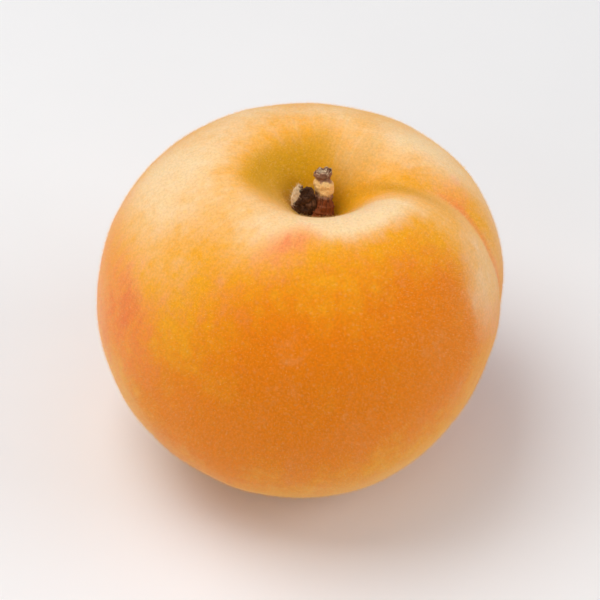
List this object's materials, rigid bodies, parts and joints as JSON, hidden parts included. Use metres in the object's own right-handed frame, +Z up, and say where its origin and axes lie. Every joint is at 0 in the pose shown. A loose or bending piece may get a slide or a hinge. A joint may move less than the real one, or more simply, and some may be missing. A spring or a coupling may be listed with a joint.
{
  "type": "yellow peach",
  "caption": "Whole ripe yellow peach standing on its blossom end, with a suture furrow down one side and a broken woody stalk in the hollow on top.",
  "frame": {"origin": "on the surface that the peach stands on, under the middle of its box", "axes": "+Z up from the resting spot towards the stalk hollow, +X towards the side that carries the suture, +Y away from the camera of the picture"},
  "size_m": [0.071, 0.07, 0.0613],
  "materials": {
    "peach_skin": "matte, covered in fine short down",
    "stalk_wood": "dry rough bark with pale torn ends"
  },
  "bodies": {
    "root": {"peach_fruit": "peach_skin", "peach_stalk": "stalk_wood"}
  },
  "joints": []
}
